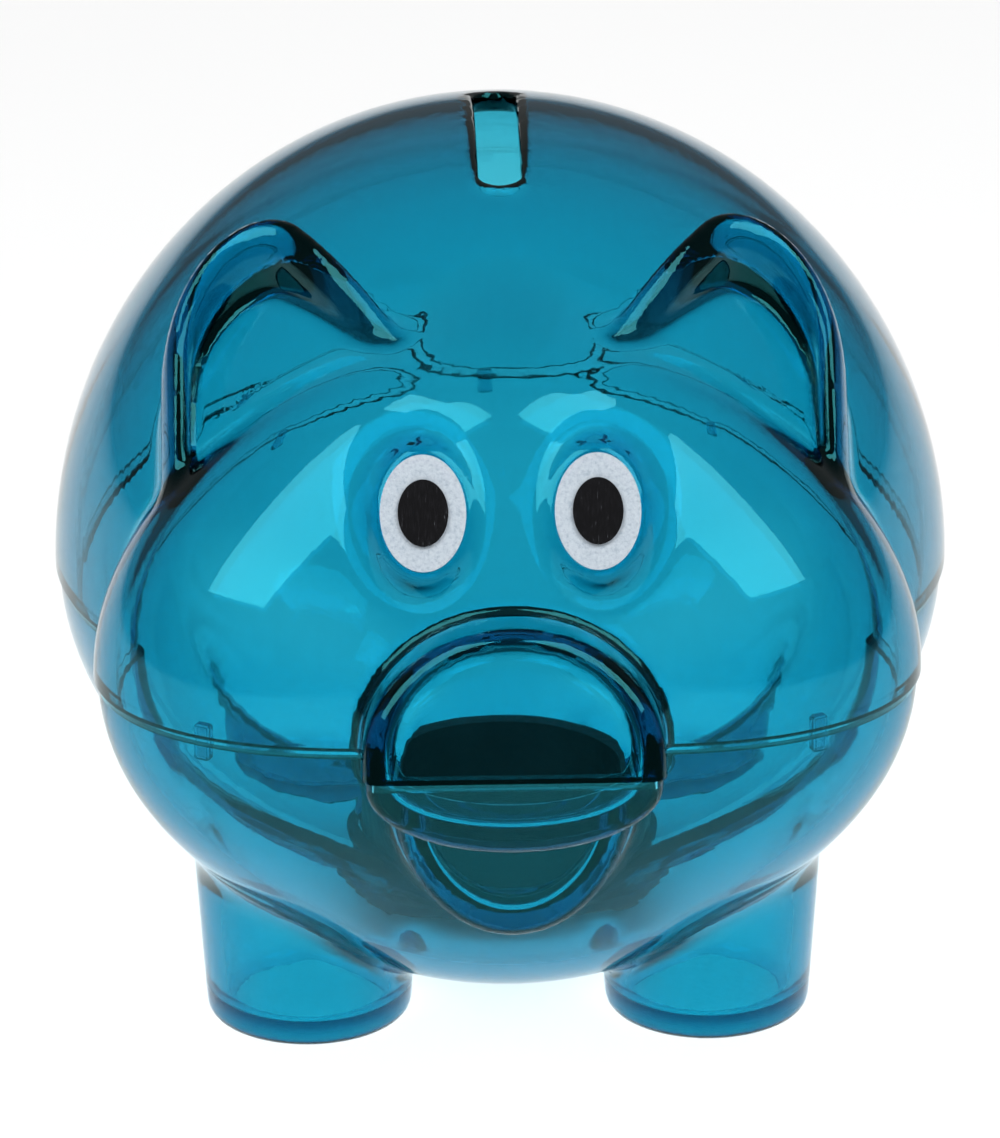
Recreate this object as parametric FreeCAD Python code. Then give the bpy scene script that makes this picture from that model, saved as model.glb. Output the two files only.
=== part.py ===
import FreeCAD, Part
import math
import os

# A transparent two-shell piggy bank with a rubber stopper in the belly.
# Millimetres, +Z up, the pig faces -Y. The origin is at floor level, midway
# between the tip of the snout and the back of the body.

# ---- driving dimensions: whole body ----
body_half_width = 47.5
body_front = 47.5
body_back = 64.0
body_rise = 46.7
seam_height = 41.0
belly_clearance = 5.0

# ---- head and cheeks, measured from the middle of the body ----
head_half_width = 39.4
head_half_length = 24.3
head_rise = 36.7
head_drop = 36.5
head_offset = 29.2
cheek_offset_x = 20.0
cheek_offset_y = 34.0
cheek_half_width = 22.0
cheek_half_length = 18.5
cheek_half_height = 21.0

# ---- shells ----
wall = 2.2
seam_step = 0.4
lap_height = 1.2
lap_fit = 0.08
lap_gap = 0.15

# ---- snout and jaw ----
snout_reach = 62.5
snout_lean = 20.0
snout_half_width = 15.4
snout_cheek_height = 1.0
snout_rise = 14.1
snout_drop = 8.6
jaw_reach = 55.0
jaw_half_width = 12.8
jaw_drop = 21.2

# ---- coin slot ----
slot_width = 4.4
slot_front = -11.0
slot_back = 21.0

# ---- ears ----
ear_centre_x = 26.9
ear_centre_y = -23.0
ear_radius = 8.5
ear_wall = 3.0
ear_outer_arm = 9.7
ear_outer_splay = 1.0
ear_inner_arm = 16.0
ear_inner_splay = 40.0
ear_ball_x = 4.2
ear_ball_y = 10.7
ear_ball_height = -0.6
ear_ball_radius = 55.5
ear_root = 12.0

# ---- eyes ----
eye_spacing_x = 8.8
eye_height = 23.0
eye_tilt = 29.0
eye_boss_width = 11.6
eye_boss_height = 15.6
eye_boss_rise = 1.6
eye_boss_draft = 1.1
eye_white_width = 8.7
eye_white_height = 11.9
pupil_width = 5.1
pupil_height = 6.8
ink_thickness = 0.3

# ---- legs ----
leg_x = 21.0
leg_y = 27.0
foot_radius = 10.7
leg_top_radius = 12.5
leg_height = 28.0
foot_round = 0.8

# ---- alignment tabs inside the seam ----
tab_width = 1.7
tab_thickness = 1.1
tab_drop = 3.4
tab_root = 0.3
tab_fit = 0.15

# ---- stopper ----
plug_y = -3.0
plug_hole_radius = 15.4
plug_fit = 0.06
plug_flange_radius = 17.4
plug_flange_thickness = 1.8
plug_pocket_fit = 0.4
plug_height = 9.5
plug_draft = 0.5
plug_skin = 1.8
plug_grip_length = 14.0
plug_grip_width = 2.4
plug_grip_depth = 1.2
seat_height = 6.8

# ---- places worked out from the driving dimensions ----
body_y = (snout_reach - body_back) / 2
body_drop = seam_height - belly_clearance
body_centre = FreeCAD.Vector(0, body_y, seam_height)
head_centre = FreeCAD.Vector(0, body_y - head_offset, seam_height)
overall = 4 * (body_half_width + body_back)


def vec(x, y, z):
    return FreeCAD.Vector(x, y, z)


def egg(centre, half_width, front, back, rise, inset):
    """The upper half of an egg (rise > 0) or its lower half (rise < 0), shrunk by inset."""
    halves = []
    for start, length in ((180, front), (0, back)):
        quarter = Part.makeSphere(1, vec(0, 0, 0), vec(0, 0, 1), 0, 90, 180)
        quarter.rotate(vec(0, 0, 0), vec(0, 0, 1), start)
        scale = FreeCAD.Matrix()
        scale.scale(half_width - inset, length - inset, abs(rise) - inset)
        quarter = quarter.transformGeometry(scale)
        if rise < 0:
            quarter = quarter.mirror(vec(0, 0, 0), vec(0, 0, 1))
        halves.append(quarter)
    whole = halves[0].fuse(halves[1])
    whole.translate(centre)
    return whole


def half_ellipse_prism(half_width, rise, shoulder, front, back, base_z):
    """A D-shaped bar along Y: a shoulder of straight side, then half an ellipse up or down."""
    way = 1 if rise > 0 else -1
    top = base_z + way * shoulder
    height = abs(rise) - shoulder
    if half_width > height:
        arc = Part.Ellipse(vec(0, front, top), half_width, height)
    else:
        arc = Part.Ellipse(vec(0, front, top), height, half_width)
    turn = FreeCAD.Placement(vec(0, front, top), FreeCAD.Rotation(vec(1, 0, 0), 90 * way))
    if half_width <= height:
        spin = FreeCAD.Rotation(vec(0, 0, 1), 90)
        turn = FreeCAD.Placement(turn.Base, turn.Rotation.multiply(spin))
    arc.Center = vec(0, 0, 0)
    disc = Part.Face(Part.Wire(arc.toShape()))
    disc.Placement = turn
    bar = disc.extrude(vec(0, back - front, 0))
    block = Part.makeBox(2 * half_width, back - front, shoulder + height)
    low = base_z if way > 0 else base_z - shoulder - height
    block.translate(vec(-half_width, front, low))
    shoulder_block = Part.makeBox(2 * half_width, back - front, shoulder)
    shoulder_block.translate(vec(-half_width, front, base_z if way > 0 else base_z - shoulder))
    return bar.common(block).fuse(shoulder_block)


def snout(rise, inset):
    """The upper or lower half of the snout, running back into the head."""
    front = body_y - snout_reach + inset
    back = head_centre.y
    size = (abs(rise) - inset) * (1 if rise > 0 else -1)
    bar = half_ellipse_prism(
        snout_half_width - inset, size, snout_cheek_height, front, back, seam_height
    )
    if rise < 0:
        return bar
    return bar.cut(snout_wedge(front))


def snout_wedge(front):
    """What the upper face of the snout loses by leaning back from the seam."""
    reach = snout_reach / 2
    block = Part.makeBox(4 * snout_half_width, reach, 2 * snout_rise)
    block.translate(vec(-2 * snout_half_width, -reach, 0))
    block.rotate(vec(0, 0, 0), vec(1, 0, 0), -snout_lean)
    block.translate(vec(0, front, seam_height))
    return block


def jaw(inset):
    """The rounded jaw that hangs below the snout."""
    front = body_y - jaw_reach + inset
    back = head_centre.y
    return half_ellipse_prism(
        jaw_half_width - inset, inset - jaw_drop, snout_drop / 2, front, back, seam_height
    )


def leg(side, end, inset):
    """A tapered leg from the floor up into the belly, with a rounded foot edge."""
    foot = foot_radius - inset
    top = leg_top_radius - inset
    cone = Part.makeCone(foot, top, leg_height - inset)
    if inset == 0:
        rim = [e for e in cone.Edges if e.BoundBox.ZMax < 0.01 and e.Length > foot]
        cone = cone.makeFillet(foot_round, rim)
    cone.translate(vec(side * leg_x, body_y + end * leg_y, inset))
    return cone


def upper_volume(inset):
    """Everything above the seam, shrunk by inset."""
    volume = egg(body_centre, body_half_width, body_front, body_back, body_rise, inset)
    head = egg(head_centre, head_half_width, head_half_length, head_half_length, head_rise, inset)
    volume = volume.fuse(head)
    for side in (-1, 1):
        volume = volume.fuse(cheek(side, 1, inset))
    return volume.fuse(snout(snout_rise, inset))


def cheek(side, way, inset):
    centre = vec(side * cheek_offset_x, body_y - cheek_offset_y, seam_height)
    rise = way * cheek_half_height
    return egg(centre, cheek_half_width, cheek_half_length, cheek_half_length, rise, inset)


def lower_volume(inset, with_legs):
    """Everything below the seam, shrunk by inset."""
    volume = egg(body_centre, body_half_width, body_front, body_back, -body_drop, inset)
    head = egg(head_centre, head_half_width, head_half_length, head_half_length, -head_drop, inset)
    volume = volume.fuse(head)
    for side in (-1, 1):
        volume = volume.fuse(cheek(side, -1, inset))
    volume = volume.fuse(snout(-snout_drop, inset)).fuse(jaw(inset))
    if with_legs:
        for side in (-1, 1):
            for end in (-1, 1):
                leg_inset = max(inset - seam_step, 0)
                volume = volume.fuse(leg(side, end, leg_inset))
    return volume


def slab(low, high):
    """A block that holds all the material between two heights."""
    block = Part.makeBox(overall, overall, high - low)
    block.translate(vec(-overall / 2, -overall / 2, low))
    return block


def coin_slot():
    """A round-ended cutter through the top of the back."""
    radius = slot_width / 2
    length = slot_back - slot_front - slot_width
    depth = body_rise / 2
    low = seam_height + body_rise - depth
    bar = Part.makeBox(slot_width, length, depth * 2)
    bar.translate(vec(-radius, body_y + slot_front + radius, low))
    for y in (slot_front + radius, slot_back - radius):
        end = Part.makeCylinder(radius, depth * 2, vec(0, body_y + y, low))
        bar = bar.fuse(end)
    return bar


def ear_arm(way, length, splay, rise):
    """A straight round-ended wall that runs forward from one flank of the ear's arch."""
    near = ear_radius - ear_wall
    bar = Part.makeBox(ear_wall, length, rise)
    bar.translate(vec(near if way > 0 else -ear_radius, -length, 0))
    end = Part.makeCylinder(ear_wall / 2, rise, vec(way * (near + ear_wall / 2), -length, 0))
    arm = bar.fuse(end)
    arm.rotate(vec(0, 0, 0), vec(0, 0, 1), way * splay)
    return arm


def ear(side):
    """A curved wall, a horseshoe in plan, whose top edge follows a ball and sinks into the head."""
    rise = ear_ball_height + ear_ball_radius - ear_root
    turn = 180 - ear_inner_splay - ear_outer_splay
    up = vec(0, 0, 1)
    arch = Part.makeCylinder(ear_radius, rise, vec(0, 0, 0), up, turn)
    arch = arch.cut(Part.makeCylinder(ear_radius - ear_wall, rise))
    arch.rotate(vec(0, 0, 0), up, ear_outer_splay)
    arch = arch.fuse(ear_arm(1, ear_outer_arm, ear_outer_splay, rise))
    arch = arch.fuse(ear_arm(-1, ear_inner_arm, ear_inner_splay, rise))
    arch.translate(vec(ear_centre_x, body_y + ear_centre_y, seam_height + ear_root))
    middle = vec(ear_ball_x, body_y + ear_ball_y, seam_height + ear_ball_height)
    wall_left = arch.common(Part.makeSphere(ear_ball_radius, middle))
    if side > 0:
        return wall_left
    return wall_left.mirror(vec(0, 0, 0), vec(1, 0, 0))


def eye_point(side):
    """The middle of an eye on the surface of the head, and the frame that faces out of it."""
    across = (eye_spacing_x / head_half_width) ** 2 + (eye_height / head_rise) ** 2
    y = head_centre.y - head_half_length * math.sqrt(1 - across)
    return vec(side * eye_spacing_x, y, seam_height + eye_height)


def eye_disc(side, width, height, low, high, shrink):
    """An oval disc or truncated oval cone that faces forward and up, from low to high off the head."""
    ovals = []
    for distance, less in ((low, 0), (high, shrink)):
        curve = Part.Ellipse(vec(0, 0, distance), height / 2 - less, width / 2 - less)
        ovals.append(Part.Wire(curve.toShape()))
    disc = Part.makeLoft(ovals, True, True)
    upright = FreeCAD.Rotation(vec(0, 0, 1), 90)
    lean = FreeCAD.Rotation(vec(1, 0, 0), 90 - eye_tilt)
    disc.Placement = FreeCAD.Placement(eye_point(side), lean.multiply(upright))
    return disc


def tab_places():
    """Five points on the seam outline with the direction that points out of the shell there."""
    places = []
    for degrees in (50, 90, 130):
        angle = math.radians(degrees)
        x = body_half_width * math.cos(angle)
        y = body_back * math.sin(angle)
        out = vec(x / body_half_width**2, y / body_back**2, 0).normalize()
        places.append((vec(x, body_y + y, seam_height), out))
    for side in (-1, 1):
        angle = math.radians(-55)
        x = cheek_half_width * math.cos(angle)
        y = cheek_half_length * math.sin(angle)
        out = vec(side * x / cheek_half_width**2, y / cheek_half_length**2, 0).normalize()
        point = vec(side * (cheek_offset_x + x), body_y - cheek_offset_y + y, seam_height)
        places.append((point, out))
    return places


def tab(point, out):
    """A small tongue on the inside of the upper shell that drops inside the lower one."""
    clear = seam_step + wall + tab_fit
    far = clear + tab_thickness
    root = Part.makeBox(far - wall / 2, tab_width, tab_root + lap_height - lap_gap)
    root.translate(vec(-far, -tab_width / 2, lap_gap - lap_height))
    tongue = Part.makeBox(tab_thickness, tab_width, tab_drop + tab_root)
    tongue.translate(vec(-far, -tab_width / 2, -tab_drop))
    both = root.fuse(tongue)
    both.rotate(vec(0, 0, 0), vec(0, 0, 1), math.degrees(math.atan2(out.y, out.x)))
    both.translate(point)
    return both


def lap_tongue():
    """The inner half of the upper rim, which drops into the lower rim's rebate."""
    outer = lower_volume(seam_step + wall / 2 + lap_fit, False)
    inner = lower_volume(wall, False)
    band = slab(seam_height - lap_height + lap_gap, seam_height)
    return outer.common(band).cut(inner)


def upper_shell():
    shell = upper_volume(0)
    for side in (-1, 1):
        shell = shell.fuse(ear(side))
        boss = eye_disc(
            side, eye_boss_width, eye_boss_height, -wall, eye_boss_rise, eye_boss_draft
        )
        shell = shell.fuse(boss)
    shell = shell.cut(upper_volume(wall))
    shell = shell.cut(coin_slot())
    shell = shell.fuse(lap_tongue())
    for point, out in tab_places():
        shell = shell.fuse(tab(point, out))
    return shell


def plug_pad(radius, low, high):
    return Part.makeCylinder(radius, high - low, vec(0, body_y + plug_y, low))


def lower_shell():
    shell = lower_volume(seam_step, True)
    shell = shell.cut(lower_volume(seam_step + wall, True))
    rebate = lower_volume(seam_step + wall / 2, False)
    shell = shell.cut(rebate.common(slab(seam_height - lap_height, seam_height)))
    pocket_radius = plug_flange_radius + plug_pocket_fit
    floor = plug_pad(pocket_radius + wall, belly_clearance + wall / 2, seat_height + wall)
    shell = shell.fuse(floor.common(lower_volume(seam_step, False)))
    shell = shell.cut(plug_pad(pocket_radius, 0, seat_height))
    return shell.cut(plug_pad(plug_hole_radius, 0, seat_height + 2 * wall))


def belly_plug():
    """A rubber cup: a flange under the belly, a tapered hollow shank and a grip bar to pull."""
    shank_radius = plug_hole_radius - plug_fit
    base = vec(0, body_y + plug_y, seat_height)
    flange = plug_pad(plug_flange_radius, seat_height - plug_flange_thickness, seat_height)
    shank = Part.makeCone(shank_radius, shank_radius - plug_draft, plug_height, base)
    hollow = Part.makeCone(
        shank_radius - plug_skin, shank_radius - plug_draft - plug_skin, plug_height, base
    )
    grip = Part.makeBox(plug_grip_length, plug_grip_width, plug_grip_depth)
    grip_low = seat_height - plug_flange_thickness - plug_grip_depth
    grip.translate(vec(-plug_grip_length / 2, body_y + plug_y - plug_grip_width / 2, grip_low))
    return flange.fuse(shank.cut(hollow)).fuse(grip)


def save(shape, node):
    shape.exportStep("parts/" + node + ".step")
    box = shape.BoundBox
    print(node, len(shape.Solids), shape.isValid(), round(shape.Volume), box)


os.makedirs("parts", exist_ok=True)
save(upper_shell(), "upper_shell")
save(lower_shell(), "lower_shell")
save(belly_plug(), "belly_plug")
for side, name in ((-1, "right"), (1, "left")):
    top = eye_boss_rise + ink_thickness
    white = eye_disc(side, eye_white_width, eye_white_height, eye_boss_rise, top, 0)
    pupil = eye_disc(side, pupil_width, pupil_height, top, top + ink_thickness, 0)
    save(white, "eye_white_" + name)
    save(pupil, "pupil_" + name)
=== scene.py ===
import math

import bmesh
import bpy
import numpy as np
from mathutils import Matrix, Vector


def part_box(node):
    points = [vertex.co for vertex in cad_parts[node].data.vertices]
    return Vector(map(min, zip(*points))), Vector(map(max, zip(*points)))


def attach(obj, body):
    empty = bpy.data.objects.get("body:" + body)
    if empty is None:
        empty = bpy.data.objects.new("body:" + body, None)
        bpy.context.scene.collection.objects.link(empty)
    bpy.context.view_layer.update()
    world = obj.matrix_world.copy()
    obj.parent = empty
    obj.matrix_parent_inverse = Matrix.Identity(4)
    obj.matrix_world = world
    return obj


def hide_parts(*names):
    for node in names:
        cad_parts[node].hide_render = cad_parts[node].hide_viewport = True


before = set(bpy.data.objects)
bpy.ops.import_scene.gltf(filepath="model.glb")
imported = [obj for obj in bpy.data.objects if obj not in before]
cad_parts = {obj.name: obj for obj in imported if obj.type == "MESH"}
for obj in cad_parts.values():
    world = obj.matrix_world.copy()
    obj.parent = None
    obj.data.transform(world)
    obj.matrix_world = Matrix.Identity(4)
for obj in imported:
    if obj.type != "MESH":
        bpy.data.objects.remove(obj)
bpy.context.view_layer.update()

# Lengths are in millimetres until a mesh is made, and MM turns them into metres.
MM = 0.001

# ---- sizes read from the frame ----
upper_low, upper_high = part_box("upper_shell")
lower_low, lower_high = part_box("lower_shell")
plug_low, plug_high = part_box("belly_plug")
BODY_HALF_WIDTH = upper_high.x / MM
SEAM = lower_high.z / MM
BODY_RISE = upper_high.z / MM - SEAM
PLUG_Y = (plug_low.y + plug_high.y) / 2 / MM
FLANGE_RADIUS = (plug_high.x - plug_low.x) / 2 / MM
SNOUT_TIP = upper_low.y / MM

# ---- the body's shape, as the CAD shells have it ----
BODY_FRONT = 47.5
BODY_BACK = 64.0
BODY_Y = upper_high.y / MM - BODY_BACK
BELLY_CLEARANCE = 5.0
HEAD_HALF_WIDTH, HEAD_HALF_LENGTH, HEAD_RISE, HEAD_DROP = 39.4, 24.3, 36.7, 36.5
HEAD_Y = BODY_Y - 29.2
CHEEK_X, CHEEK_Y = 20.0, BODY_Y - 34.0
CHEEK_HALF_WIDTH, CHEEK_HALF_LENGTH, CHEEK_HALF_HEIGHT = 22.0, 18.5, 21.0
WALL = 2.2
SEAM_STEP = 0.4
SNOUT_HALF_WIDTH, SNOUT_SHOULDER, SNOUT_RISE, SNOUT_DROP = 15.4, 1.0, 14.1, 8.6
SNOUT_LEAN = math.radians(20)
JAW_FRONT = BODY_Y - 55.0
JAW_HALF_WIDTH, JAW_DROP = 12.8, 21.2
SLOT_HALF_WIDTH, SLOT_FRONT, SLOT_BACK = 2.2, BODY_Y - 11.0, BODY_Y + 21.0
EAR_X, EAR_Y, EAR_RADIUS, EAR_WALL = 26.9, BODY_Y - 23.0, 8.5, 3.0
EAR_OUTER_ARM, EAR_OUTER_SPLAY = 9.7, math.radians(1)
EAR_INNER_ARM, EAR_INNER_SPLAY = 16.0, math.radians(40)
EAR_BALL_X, EAR_BALL_Y, EAR_BALL_Z, EAR_BALL_RADIUS = 4.2, BODY_Y + 10.7, SEAM - 0.6, 55.5
EYE_X, EYE_HEIGHT, EYE_TILT = 8.8, 23.0, math.radians(29)
BOSS_HALF_WIDTH, BOSS_HALF_HEIGHT, BOSS_RISE, BOSS_DRAFT = 5.8, 7.8, 1.58, 1.1
LEG_X, LEG_Y, FOOT_RADIUS, LEG_TOP_RADIUS, LEG_HEIGHT = 21.0, 27.0, 10.7, 12.5, 28.0
HOLE_RADIUS, POCKET_RADIUS, SEAT_HEIGHT = 15.4, FLANGE_RADIUS + 0.4, 6.8

# ---- the lap joint and the tabs ----
UPPER_LIP_DROP, UPPER_LIP_THICKNESS = 1.05, 0.9
LOWER_LIP_RISE, LOWER_LIP_THICKNESS = 1.2, 0.8
TAB_WIDTH, TAB_THICKNESS, TAB_DROP, TAB_ROOT = 1.7, 1.1, 3.4, 0.3
TAB_CLEARANCE, TAB_BEVEL = 0.2, 0.2
REAR_TAB_ANGLES, FRONT_TAB_ANGLE = (50, 90, 130), -55

# ---- how softly the volumes run into each other ----
CHEEK_BLEND = 8.0
NECK_BLEND, NECK_BLEND_INSIDE = 0.9, 2.4
BROW_BLEND, BROW_HALF_WIDTH, BROW_FADE = 6.5, 10.0, 20
CHIN_BLEND_GROWTH, CHIN_FADE = 3.0, 15
FRONT_LEG_BLEND, FRONT_LEG_BLEND_INSIDE = 2.4, 4.5
REAR_LEG_BLEND, REAR_LEG_BLEND_INSIDE = 6.0, 9.0
EAR_BLEND, EYE_BOSS_BLEND = 1.2, 2.2

# ---- how fine the meshes are ----
CELL = 0.62
SHARP_ANGLE = math.radians(38)
RIM_TOLERANCE = 1e-3


# ---- distance fields: negative inside ----
def union(a, b, blend):
    """The smooth union of two fields, with a fillet about as wide as blend."""
    overlap = np.maximum(blend - np.abs(a - b), 0) / blend
    return np.minimum(a, b) - overlap * overlap * blend / 4


def meet(a, b, blend):
    """The smooth intersection of two fields."""
    return -union(-a, -b, blend)


def egg(p, centre, half_width, front, back, rise, drop, inset):
    """An egg with its own length in front, behind, above and below, shrunk by inset."""
    x, y, z = p[0] - centre[0], p[1] - centre[1], p[2] - centre[2]
    rx = half_width - inset
    ry = np.where(y < 0, front, back) - inset
    rz = np.where(z > 0, rise, drop) - inset
    scaled = np.sqrt((x / rx) ** 2 + (y / ry) ** 2 + (z / rz) ** 2)
    slope = np.sqrt((x / rx**2) ** 2 + (y / ry**2) ** 2 + (z / rz**2) ** 2)
    return scaled * (scaled - 1) / np.maximum(slope, 1e-6)


def oval(u, v, half_u, half_v):
    """The distance from an oval outline, near enough close to it."""
    scaled = np.sqrt((u / half_u) ** 2 + (v / half_v) ** 2)
    slope = np.sqrt((u / half_u**2) ** 2 + (v / half_v**2) ** 2)
    return scaled * (scaled - 1) / np.maximum(slope, 1e-6)


def arch(x, height, half_width, rise, shoulder):
    """A D-shaped outline: straight sides up to the shoulder, then half an oval."""
    return oval(x, np.maximum(height - shoulder, 0), half_width, rise - shoulder)


def head_and_body(p, inset, neck_blend):
    """The body egg, the head egg and the two cheeks."""
    shape = egg(
        p, (0, BODY_Y, SEAM), BODY_HALF_WIDTH, BODY_FRONT, BODY_BACK,
        BODY_RISE, SEAM - BELLY_CLEARANCE, inset,
    )
    head = egg(
        p, (0, HEAD_Y, SEAM), HEAD_HALF_WIDTH, HEAD_HALF_LENGTH, HEAD_HALF_LENGTH,
        HEAD_RISE, HEAD_DROP, inset,
    )
    side = (np.abs(p[0]), p[1], p[2])
    cheek = egg(
        side, (CHEEK_X, CHEEK_Y, SEAM), CHEEK_HALF_WIDTH, CHEEK_HALF_LENGTH,
        CHEEK_HALF_LENGTH, CHEEK_HALF_HEIGHT, CHEEK_HALF_HEIGHT, inset,
    )
    return union(shape, union(head, cheek, CHEEK_BLEND), neck_blend)


def upper_volume(p, inset):
    """Everything above the seam, shrunk by inset."""
    x, y, z = p
    # the crease between head and body is crisp under the ears and fades out between them
    between_ears = np.exp(-((x / BROW_HALF_WIDTH) ** 2)) * np.clip((z - SEAM) / BROW_FADE, 0, 1)
    crease = NECK_BLEND if inset == 0 else NECK_BLEND_INSIDE
    shape = head_and_body(p, inset, crease + (BROW_BLEND - crease) * between_ears)
    bar = arch(x, z - SEAM, SNOUT_HALF_WIDTH - inset, SNOUT_RISE - inset, SNOUT_SHOULDER)
    lean = (SNOUT_TIP + inset - y) * math.cos(SNOUT_LEAN) + (z - SEAM) * math.sin(SNOUT_LEAN)
    snout = meet(meet(bar, lean, 2.0), y - HEAD_Y, 0.2)
    return union(shape, snout, 1.1)


def lower_volume(p, inset):
    """Everything below the seam, shrunk by inset, without the legs."""
    x, y, z = p
    down = SEAM - z
    chin = CHIN_BLEND_GROWTH * np.clip(down / CHIN_FADE, 0, 1)
    shape = head_and_body(p, inset, NECK_BLEND + chin)
    bar = arch(x, down, SNOUT_HALF_WIDTH - inset, SNOUT_DROP - inset, SNOUT_SHOULDER)
    snout = meet(meet(bar, SNOUT_TIP + inset - y, 1.6), y - HEAD_Y, 0.2)
    jaw = arch(x, down, JAW_HALF_WIDTH - inset, JAW_DROP - inset, SNOUT_DROP / 2)
    jaw = meet(meet(jaw, JAW_FRONT + inset - y, 1.6), y - HEAD_Y, 0.2)
    return union(union(shape, jaw, 1.4), snout, 1.1)


def legs(p, inset, edge):
    """Four tapered legs, with the foot's lower edge rounded."""
    x, y, z = p
    out = np.hypot(np.abs(x) - LEG_X, np.abs(y - BODY_Y) - LEG_Y)
    radius = FOOT_RADIUS + (LEG_TOP_RADIUS - FOOT_RADIUS) * z / LEG_HEIGHT - inset
    leg = meet(out - radius, inset - z, edge)
    return meet(leg, z - LEG_HEIGHT, 1.0)


def ear_arm(across, along, way, length, splay):
    """The distance in plan from the middle line of one arm of the ear, seen from its arch."""
    out = way * across * math.cos(splay) + along * math.sin(splay) - EAR_RADIUS + EAR_WALL / 2
    ahead = way * across * math.sin(splay) - along * math.cos(splay)
    return np.hypot(out, np.maximum(np.maximum(-ahead, ahead - length), 0))


def ears(p):
    """Horseshoe walls with round ends, whose top edge follows a ball down into the head."""
    x, y, z = np.abs(p[0]), p[1], p[2]
    across, along = x - EAR_X, y - EAR_Y
    turn = np.arctan2(along, across)
    turn = np.where(turn < -math.pi / 2, turn + 2 * math.pi, turn)
    in_arch = (turn > EAR_OUTER_SPLAY) & (turn < math.pi - EAR_INNER_SPLAY)
    arc = np.abs(np.hypot(across, along) - (EAR_RADIUS - EAR_WALL / 2))
    arms = np.minimum(
        ear_arm(across, along, 1, EAR_OUTER_ARM, EAR_OUTER_SPLAY),
        ear_arm(across, along, -1, EAR_INNER_ARM, EAR_INNER_SPLAY),
    )
    wall = np.where(in_arch, arc, arms) - EAR_WALL / 2
    ball = np.sqrt(
        (x - EAR_BALL_X) ** 2 + (y - EAR_BALL_Y) ** 2 + (z - EAR_BALL_Z) ** 2
    )
    return meet(wall, ball - EAR_BALL_RADIUS, 2.4)


def eye_frame():
    """The middle of the left eye on the head, and the directions up along it and out of it."""
    share = (EYE_X / HEAD_HALF_WIDTH) ** 2 + (EYE_HEIGHT / HEAD_RISE) ** 2
    middle = (EYE_X, HEAD_Y - HEAD_HALF_LENGTH * math.sqrt(1 - share), SEAM + EYE_HEIGHT)
    up = (math.sin(EYE_TILT), math.cos(EYE_TILT))
    out = (-math.cos(EYE_TILT), math.sin(EYE_TILT))
    return middle, up, out


def eye_bosses(p):
    """Raised ovals with tapered flanks and a flat top, which carry the eyes."""
    middle, up, out = eye_frame()
    u = np.abs(p[0]) - middle[0]
    v = (p[1] - middle[1]) * up[0] + (p[2] - middle[2]) * up[1]
    w = (p[1] - middle[1]) * out[0] + (p[2] - middle[2]) * out[1]
    taper = BOSS_DRAFT * w / BOSS_RISE
    half_width = np.maximum(BOSS_HALF_WIDTH - taper, 1)
    half_height = np.maximum(BOSS_HALF_HEIGHT - taper, 1)
    flank = oval(u, v, half_width, half_height)
    return meet(meet(flank, w - BOSS_RISE, 0.8), -2 * WALL - w, 0.2)


def coin_slot(p):
    """A round-ended slot through the top of the back."""
    reach = (SLOT_BACK - SLOT_FRONT) / 2 - SLOT_HALF_WIDTH
    along = np.maximum(np.abs(p[1] - (SLOT_FRONT + SLOT_BACK) / 2) - reach, 0)
    return meet(np.hypot(p[0], along) - SLOT_HALF_WIDTH, SEAM + BODY_RISE / 2 - p[2], 0.2)


def upper_shell(p):
    outer = union(upper_volume(p, 0), ears(p), EAR_BLEND)
    outer = union(outer, eye_bosses(p), EYE_BOSS_BLEND)
    shell = meet(outer, -upper_volume(p, WALL), 0.2)
    return meet(shell, -coin_slot(p), 0.9)


def plug_cylinder(p, radius):
    return np.hypot(p[0], p[1] - PLUG_Y) - radius


def lower_shell(p):
    # the rear legs flow into the belly, the front ones keep a crease outside
    rear = p[1] > BODY_Y
    outer_blend = np.where(rear, REAR_LEG_BLEND, FRONT_LEG_BLEND)
    inner_blend = np.where(rear, REAR_LEG_BLEND_INSIDE, FRONT_LEG_BLEND_INSIDE)
    outer = union(lower_volume(p, SEAM_STEP), legs(p, 0, 1.6), outer_blend)
    outer = meet(outer, -meet(plug_cylinder(p, POCKET_RADIUS), p[2] - SEAT_HEIGHT, 0.4), 0.6)
    inner = union(lower_volume(p, SEAM_STEP + WALL), legs(p, WALL, 2.0), inner_blend)
    pad = meet(plug_cylinder(p, POCKET_RADIUS + WALL), p[2] - SEAT_HEIGHT - WALL, 0.8)
    inner = meet(inner, -pad, 1.2)
    shell = meet(outer, -inner, 0.2)
    return meet(shell, -plug_cylinder(p, HOLE_RADIUS), 0.5)


# ---- from a field to a mesh ----
def corner(mask, i, j, k):
    """One of a grid's eight corner views, with the size of its cells."""
    nx, ny, nz = mask.shape
    return mask[i:nx - 1 + i, j:ny - 1 + j, k:nz - 1 + k]


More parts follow.
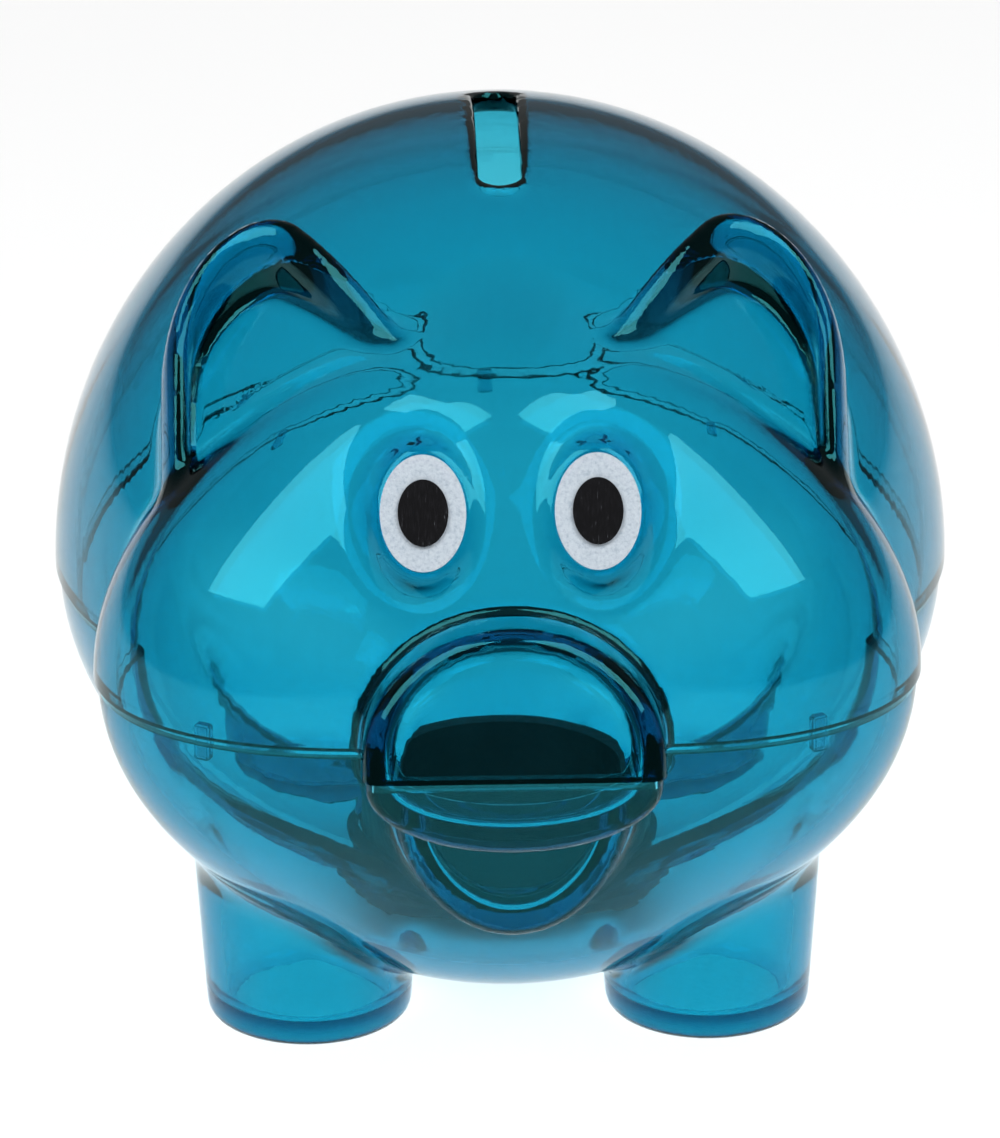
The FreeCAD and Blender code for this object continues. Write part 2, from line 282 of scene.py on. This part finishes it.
def surface_net(values):
    """Vertices in cell units and quads of the surface where a grid of values changes sign."""
    inside = values < 0
    corners = [(i, j, k) for i in (0, 1) for j in (0, 1) for k in (0, 1)]
    count = sum(corner(inside, *c).astype(np.int8) for c in corners)
    active = (count > 0) & (count < 8)
    cells = np.argwhere(active)
    number = np.full(active.shape, -1, np.int64)
    number[active] = np.arange(len(cells))
    total = np.zeros((len(cells), 3))
    hits = np.zeros(len(cells))
    for a in corners:
        for axis in range(3):
            if a[axis]:
                continue
            b = tuple(v + (n == axis) for n, v in enumerate(a))
            start = corner(values, *a)[active]
            end = corner(values, *b)[active]
            cross = (start < 0) != (end < 0)
            share = start[cross] / (start[cross] - end[cross])
            spot = np.tile(np.array(a, float), (len(share), 1))
            spot[:, axis] += share
            total[cross] += spot
            hits[cross] += 1
    points = cells + total / hits[:, None]
    quads = []
    for axis in range(3):
        u, v = (axis + 1) % 3, (axis + 2) % 3
        low = [slice(None)] * 3
        high = [slice(None)] * 3
        low[axis], high[axis] = slice(0, -1), slice(1, None)
        change = inside[tuple(low)] != inside[tuple(high)]
        edges = np.argwhere(change)
        edges = edges[(edges[:, u] > 0) & (edges[:, v] > 0)]
        edges = edges[(edges[:, u] < values.shape[u] - 1) & (edges[:, v] < values.shape[v] - 1)]
        ring = []
        for du, dv in ((1, 1), (0, 1), (0, 0), (1, 0)):
            cell = edges.copy()
            cell[:, u] -= du
            cell[:, v] -= dv
            ring.append(number[tuple(cell.T)])
        ring = np.stack(ring, 1)
        leaving = inside[tuple(edges.T)]
        ring[~leaving] = ring[~leaving][:, ::-1]
        quads.append(ring)
    return points, np.concatenate(quads)


def settle(field, points, rounds=4, reach=0.04):
    """Moves points onto the surface where the field is zero."""
    for _ in range(rounds):
        value = field(points.T)
        slope = np.empty_like(points)
        for axis in range(3):
            step = np.zeros(3)
            step[axis] = reach
            slope[:, axis] = field((points + step).T) - field((points - step).T)
        slope /= 2 * reach
        size = np.maximum((slope**2).sum(1), 0.2)
        move = -(value / size)[:, None] * slope
        points = points + np.clip(move, -CELL / 2, CELL / 2)
    return points


def field_mesh(field, low, high):
    """The surface of a field inside a box, as vertices in millimetres and quads."""
    sizes = [int(math.ceil((b - a) / CELL)) + 1 for a, b in zip(low, high)]
    axes = [a + CELL * np.arange(n) for a, n in zip(low, sizes)]
    values = np.empty(sizes)
    for n, x in enumerate(axes[0]):
        y, z = np.meshgrid(axes[1], axes[2], indexing="ij")
        values[n] = field((np.full_like(y, x), y, z))
    points, quads = surface_net(values)
    points = settle(field, np.array(low) + points * CELL)
    return points, quads


def new_bmesh(points, quads):
    mesh = bpy.data.meshes.new("draft")
    mesh.from_pydata(points.tolist(), [], quads.tolist())
    draft = bmesh.new()
    draft.from_mesh(mesh)
    bpy.data.meshes.remove(mesh)
    # two sheets that touch along one edge are left touching at a point
    pinched = [e for e in draft.edges if len(e.link_faces) > 2]
    bmesh.ops.collapse(draft, edges=pinched)
    return draft


def rim_rings(draft, height):
    """The open rims at a height, as rings of vertices that turn the same way: outer, then inner."""
    beside = {}
    for edge in draft.edges:
        level = all(abs(v.co.z - height) < RIM_TOLERANCE for v in edge.verts)
        if len(edge.link_faces) == 1 and level:
            first, second = edge.verts
            beside.setdefault(first, []).append(second)
            beside.setdefault(second, []).append(first)
    rings = []
    seen = set()
    for start in beside:
        if start in seen:
            continue
        ring = []
        ahead = [start]
        while ahead:
            ring.append(ahead[0])
            seen.add(ahead[0])
            ahead = [v for v in beside[ahead[0]] if v not in seen]
        turn = sum(ring[n - 1].co.cross(vert.co).z for n, vert in enumerate(ring))
        rings.append(ring if turn > 0 else ring[::-1])
    rings.sort(key=lambda ring: max(v.co.x for v in ring))
    return rings[-1], rings[-2]


def cut_flat(draft, height, keep_above):
    """Cuts the mesh off at a height, which leaves the rim open."""
    bmesh.ops.bisect_plane(
        draft, geom=draft.verts[:] + draft.edges[:] + draft.faces[:], dist=1e-5,
        plane_co=(0, 0, height), plane_no=(0, 0, -1 if keep_above else 1), clear_outer=True,
    )


def walk(draft, ring, shift):
    """Adds a strip of faces from a ring to a shifted copy of it, and returns the copy."""
    far = [draft.verts.new(shift(vert)) for vert in ring]
    for n, vert in enumerate(ring):
        draft.faces.new((ring[n - 1], vert, far[n], far[n - 1]))
    return far


def bridge(draft, ring, other):
    """Fills the gap between two rings with triangles, each across the shorter way."""
    nearest = min(range(len(other)), key=lambda n: (other[n].co - ring[0].co).length)
    ring = ring + ring[:1]
    other = other[nearest:] + other[:nearest + 1]
    a = b = 0
    while a < len(ring) - 1 or b < len(other) - 1:
        if a == len(ring) - 1:
            step_ring = False
        elif b == len(other) - 1:
            step_ring = True
        else:
            to_ring = (ring[a + 1].co - other[b].co).length
            step_ring = to_ring <= (other[b + 1].co - ring[a].co).length
        if step_ring:
            draft.faces.new((ring[a], ring[a + 1], other[b]))
            a += 1
        else:
            draft.faces.new((ring[a], other[b + 1], other[b]))
            b += 1


def outward(volume, vert):
    """The level direction that points out of a volume at a vertex."""
    spot = np.array(vert.co)
    ahead = [volume(spot + step)[()] - volume(spot - step)[()] for step in 0.05 * np.eye(3)[:2]]
    return Vector((ahead[0], ahead[1], 0)).normalized()


def stepped_rim(draft, height, moving, still, volume, rise, thickness):
    """Closes an open rim with a step: one ring goes up, across and back, and meets the other."""
    level = walk(draft, moving, lambda v: v.co + Vector((0, 0, rise)))
    top = walk(draft, level, lambda v: v.co + outward(volume, v) * thickness)
    back = walk(draft, top, lambda v: Vector((v.co.x, v.co.y, height)))
    bridge(draft, back, still)


def finish_mesh(draft, name, material):
    """A smooth-shaded object from a draft in millimetres, with its sharp edges marked."""
    bmesh.ops.recalc_face_normals(draft, faces=draft.faces[:])
    for face in draft.faces:
        face.smooth = True
    for edge in draft.edges:
        edge.smooth = edge.calc_face_angle(math.pi) < SHARP_ANGLE
    draft.transform(Matrix.Scale(MM, 4))
    mesh = bpy.data.meshes.new(name)
    draft.to_mesh(mesh)
    draft.free()
    mesh.materials.append(material)
    obj = bpy.data.objects.new(name, mesh)
    bpy.context.scene.collection.objects.link(obj)
    return obj


def tab_places():
    """Five points on the seam outline with the direction that points out of the shell there."""
    places = []
    for degrees in REAR_TAB_ANGLES:
        angle = math.radians(degrees)
        x, y = BODY_HALF_WIDTH * math.cos(angle), BODY_BACK * math.sin(angle)
        out = Vector((x / BODY_HALF_WIDTH**2, y / BODY_BACK**2, 0)).normalized()
        places.append((Vector((x, BODY_Y + y, SEAM)), out))
    angle = math.radians(FRONT_TAB_ANGLE)
    x, y = CHEEK_HALF_WIDTH * math.cos(angle), CHEEK_HALF_LENGTH * math.sin(angle)
    for side in (-1, 1):
        out = Vector((side * x / CHEEK_HALF_WIDTH**2, y / CHEEK_HALF_LENGTH**2, 0)).normalized()
        places.append((Vector((side * (CHEEK_X + x), CHEEK_Y + y, SEAM)), out))
    return places


def add_tab(draft, point, out):
    """A small bevelled tongue that hangs just inside the seam."""
    height = TAB_DROP + TAB_ROOT
    middle = WALL + SEAM_STEP + TAB_CLEARANCE + TAB_THICKNESS / 2
    made = bmesh.ops.create_cube(draft, size=1)["verts"]
    bmesh.ops.scale(draft, vec=(TAB_THICKNESS, TAB_WIDTH, height), verts=made)
    edges = {e for v in made for e in v.link_edges}
    bevelled = bmesh.ops.bevel(
        draft, geom=list(edges), offset=TAB_BEVEL, segments=2, affect="EDGES",
    )
    made = set(bevelled["verts"]) | {v for v in made if v.is_valid}
    turn = Matrix.Rotation(math.atan2(out.y, out.x), 3, "Z")
    centre = point - out * middle + Vector((0, 0, height / 2 - TAB_DROP))
    for vert in made:
        vert.co = turn @ vert.co + centre


def make_upper_shell(material):
    low = (-BODY_HALF_WIDTH - 2, SNOUT_TIP - 2, SEAM - 2)
    high = (BODY_HALF_WIDTH + 2, upper_high.y / MM + 2, SEAM + BODY_RISE + 2)
    draft = new_bmesh(*field_mesh(upper_shell, low, high))
    cut_flat(draft, SEAM, True)
    outer, inner = rim_rings(draft, SEAM)
    stepped_rim(
        draft, SEAM, inner, outer, lambda p: upper_volume(p, WALL),
        -UPPER_LIP_DROP, UPPER_LIP_THICKNESS,
    )
    for point, out in tab_places():
        add_tab(draft, point, out)
    return finish_mesh(draft, "upper_shell_moulding", material)


def make_lower_shell(material):
    low = (-BODY_HALF_WIDTH - 2, SNOUT_TIP - 2, -2)
    high = (BODY_HALF_WIDTH + 2, upper_high.y / MM + 2, SEAM + 2)
    draft = new_bmesh(*field_mesh(lower_shell, low, high))
    shelf = SEAM - LOWER_LIP_RISE
    cut_flat(draft, shelf, False)
    outer, inner = rim_rings(draft, shelf)
    stepped_rim(
        draft, shelf, outer, inner, lambda p: lower_volume(p, SEAM_STEP),
        LOWER_LIP_RISE, -LOWER_LIP_THICKNESS,
    )
    return finish_mesh(draft, "lower_shell_moulding", material)


# ---- materials ----
def new_material(name):
    """A node material with its nodes, links, Principled shader and output."""
    material = bpy.data.materials.new(name)
    material.use_nodes = True
    nodes, links = material.node_tree.nodes, material.node_tree.links
    return material, nodes, links, nodes["Principled BSDF"], nodes["Material Output"]


def noise(nodes, links, scale, detail, roughness=0.5):
    """A noise texture on object coordinates, so it keeps to the piece."""
    place = nodes.new("ShaderNodeTexCoord")
    texture = nodes.new("ShaderNodeTexNoise")
    texture.inputs["Scale"].default_value = scale
    texture.inputs["Detail"].default_value = detail
    texture.inputs["Roughness"].default_value = roughness
    links.new(place.outputs["Object"], texture.inputs["Vector"])
    return texture


def ramp(nodes, links, source, stops):
    """A colour ramp over a source, with stops as (position, colour)."""
    node = nodes.new("ShaderNodeValToRGB")
    while len(node.color_ramp.elements) < len(stops):
        node.color_ramp.elements.new(0.5)
    for element, (position, colour) in zip(node.color_ramp.elements, stops):
        element.position = position
        element.color = (*colour, 1)
    links.new(source, node.inputs["Fac"])
    return node


def bump(nodes, links, source, shader, distance, strength):
    """Bumps a shader's normal by a source height."""
    node = nodes.new("ShaderNodeBump")
    node.inputs["Distance"].default_value = distance
    node.inputs["Strength"].default_value = strength
    links.new(source, node.inputs["Height"])
    links.new(node.outputs["Normal"], shader.inputs["Normal"])


def clear_blue_plastic():
    """Transparent blue polystyrene: clear where thin, navy where looked at along the wall."""
    material, nodes, links, shader, output = new_material("clear_blue_plastic")
    shader.inputs["Base Color"].default_value = (0.93, 0.98, 1.0, 1)
    shader.inputs["Transmission Weight"].default_value = 1.0
    shader.inputs["IOR"].default_value = 1.52
    shader.inputs["Specular Tint"].default_value = (0.12, 0.92, 1.0, 1)
    flow = noise(nodes, links, 60, 3)
    gloss = ramp(
        nodes, links, flow.outputs["Fac"],
        [(0.35, (0.0, 0.0, 0.0)), (0.8, (0.05, 0.05, 0.05))],
    )
    links.new(gloss.outputs["Color"], shader.inputs["Roughness"])
    ripple = noise(nodes, links, 130, 2)
    bump(nodes, links, ripple.outputs["Fac"], shader, 0.0002, 0.06)
    absorb = nodes.new("ShaderNodeVolumeAbsorption")
    absorb.inputs["Color"].default_value = (0.0, 0.768, 0.848, 1)
    absorb.inputs["Density"].default_value = 1100.0
    links.new(absorb.outputs["Volume"], output.inputs["Volume"])
    return material


def black_rubber():
    """Soft black rubber with a fine moulded grain and a little dust."""
    material, nodes, links, shader, _ = new_material("black_rubber")
    grain = noise(nodes, links, 900, 4)
    dust = noise(nodes, links, 120, 5)
    tone = ramp(
        nodes, links, dust.outputs["Fac"],
        [(0.4, (0.006, 0.006, 0.007)), (0.75, (0.02, 0.02, 0.022))],
    )
    links.new(tone.outputs["Color"], shader.inputs["Base Color"])
    shine = ramp(
        nodes, links, grain.outputs["Fac"],
        [(0.3, (0.42, 0.42, 0.42)), (0.7, (0.62, 0.62, 0.62))],
    )
    links.new(shine.outputs["Color"], shader.inputs["Roughness"])
    bump(nodes, links, grain.outputs["Fac"], shader, 0.0002, 0.3)
    return material


def white_print():
    """White ink, a little rough and speckled where the print is thin."""
    material, nodes, links, shader, _ = new_material("white_print")
    speckle = noise(nodes, links, 2600, 6, 0.7)
    tone = ramp(
        nodes, links, speckle.outputs["Fac"],
        [(0.32, (0.34, 0.42, 0.50)), (0.48, (0.49, 0.56, 0.63)), (0.66, (0.57, 0.64, 0.70))],
    )
    links.new(tone.outputs["Color"], shader.inputs["Base Color"])
    shader.inputs["Roughness"].default_value = 0.55
    bump(nodes, links, speckle.outputs["Fac"], shader, 0.0001, 0.5)
    return material


def black_print():
    """Glossy black ink with fine scratches."""
    material, nodes, links, shader, _ = new_material("black_print")
    place = nodes.new("ShaderNodeTexCoord")
    stretch = nodes.new("ShaderNodeMapping")
    stretch.inputs["Scale"].default_value = (3.0, 1.0, 0.12)
    stretch.inputs["Rotation"].default_value = (0.2, 0.5, 0.3)
    texture = nodes.new("ShaderNodeTexNoise")
    texture.inputs["Scale"].default_value = 1800
    texture.inputs["Detail"].default_value = 5
    links.new(place.outputs["Object"], stretch.inputs["Vector"])
    links.new(stretch.outputs["Vector"], texture.inputs["Vector"])
    tone = ramp(
        nodes, links, texture.outputs["Fac"],
        [(0.5, (0.003, 0.003, 0.004)), (0.66, (0.008, 0.008, 0.01)), (0.78, (0.10, 0.11, 0.12))],
    )
    links.new(tone.outputs["Color"], shader.inputs["Base Color"])
    shader.inputs["Roughness"].default_value = 0.22
    bump(nodes, links, texture.outputs["Fac"], shader, 0.0001, 0.25)
    return material


def pale_floor():
    """White board, a little uneven."""
    material, nodes, links, shader, _ = new_material("pale_floor")
    cloud = noise(nodes, links, 3, 2)
    tone = ramp(
        nodes, links, cloud.outputs["Fac"],
        [(0.3, (0.88, 0.88, 0.88)), (0.7, (0.90, 0.90, 0.90))],
    )
    links.new(tone.outputs["Color"], shader.inputs["Base Color"])
    shader.inputs["Roughness"].default_value = 0.8
    return material


# ---- the set ----
FLOOR_SIZE = 6.0
TARGET = Vector((0.0, 0.0, 0.0381))
CAMERA_DISTANCE = 0.9
CAMERA_TURN, CAMERA_RISE = math.radians(-1.26), math.radians(22.54)
CAMERA_ROLL = math.radians(-0.33)
FOCAL_SHARE = 8.40
SENSOR_WIDTH = 36.0
WORLD_STRENGTH = 0.14


def add_camera():
    """Looks at the pig's face from in front and above."""
    back = Vector((
        math.sin(CAMERA_TURN) * math.cos(CAMERA_RISE),
        -math.cos(CAMERA_TURN) * math.cos(CAMERA_RISE),
        math.sin(CAMERA_RISE),
    ))
    right = (-back).cross(Vector((0, 0, 1))).normalized()
    up = right.cross(-back)
    rolled_right = right * math.cos(CAMERA_ROLL) + up * math.sin(CAMERA_ROLL)
    rolled_up = up * math.cos(CAMERA_ROLL) - right * math.sin(CAMERA_ROLL)
    data = bpy.data.cameras.new("camera")
    data.sensor_fit = "HORIZONTAL"
    data.sensor_width = SENSOR_WIDTH
    data.lens = FOCAL_SHARE * SENSOR_WIDTH
    data.clip_start = 0.01
    camera = bpy.data.objects.new("camera", data)
    bpy.context.scene.collection.objects.link(camera)
    turn = Matrix((rolled_right, rolled_up, back)).transposed().to_4x4()
    camera.matrix_world = Matrix.Translation(TARGET + back * CAMERA_DISTANCE) @ turn
    bpy.context.scene.camera = camera


def add_floor():
    mesh = bpy.data.meshes.new("floor")
    half = FLOOR_SIZE / 2
    corners = [(-half, -half, 0), (half, -half, 0), (half, half, 0), (-half, half, 0)]
    mesh.from_pydata(corners, [], [(0, 1, 2, 3)])
    mesh.materials.append(pale_floor())
    floor = bpy.data.objects.new("floor", mesh)
    bpy.context.scene.collection.objects.link(floor)


def add_softbox(name, azimuth, elevation, distance, width, height, radiance):
    """An area lamp that faces the pig from a direction and returns it. Azimuth 0 is in front."""
    a, e = math.radians(azimuth), math.radians(elevation)
    way = Vector((math.sin(a) * math.cos(e), -math.cos(a) * math.cos(e), math.sin(e)))
    data = bpy.data.lights.new(name, "AREA")
    data.shape = "RECTANGLE"
    data.size = width
    data.size_y = height
    data.energy = radiance * math.pi * width * height
    lamp = bpy.data.objects.new(name, data)
    bpy.context.scene.collection.objects.link(lamp)
    turn = way.to_track_quat("Z", "Y").to_matrix().to_4x4()
    lamp.matrix_world = Matrix.Translation(TARGET + way * distance) @ turn
    return lamp


def add_world():
    world = bpy.data.worlds.new("studio")
    world.use_nodes = True
    background = world.node_tree.nodes["Background"]
    background.inputs["Color"].default_value = (1.0, 1.0, 1.0, 1)
    background.inputs["Strength"].default_value = WORLD_STRENGTH
    bpy.context.scene.world = world


# ---- the scene ----
bpy.context.scene.view_settings.view_transform = "Standard"
add_camera()
add_floor()
add_world()
for side in (-1, 1):
    add_softbox(f"softbox_{side + 1}", side * 56, 53, 1.2, 0.62, 1.0, 4.6)
behind = add_softbox("softbox_behind", 180, 58, 1.6, 1.8, 1.2, 1.6)
# its job is to whiten the floor, so the plastic doesn't mirror it
behind.visible_glossy = False
behind.visible_transmission = False

plastic = clear_blue_plastic()
for make, node in ((make_upper_shell, "upper_shell"), (make_lower_shell, "lower_shell")):
    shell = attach(make(plastic), "shell")
    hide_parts(node)
    # clear plastic lets the lamps' light through
    shell.visible_shadow = False

rubber, white, black = black_rubber(), white_print(), black_print()
for node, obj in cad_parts.items():
    if node.startswith("eye_white"):
        obj.data.materials[0] = white
    elif node.startswith("pupil"):
        obj.data.materials[0] = black
    elif node == "belly_plug":
        obj.data.materials[0] = rubber
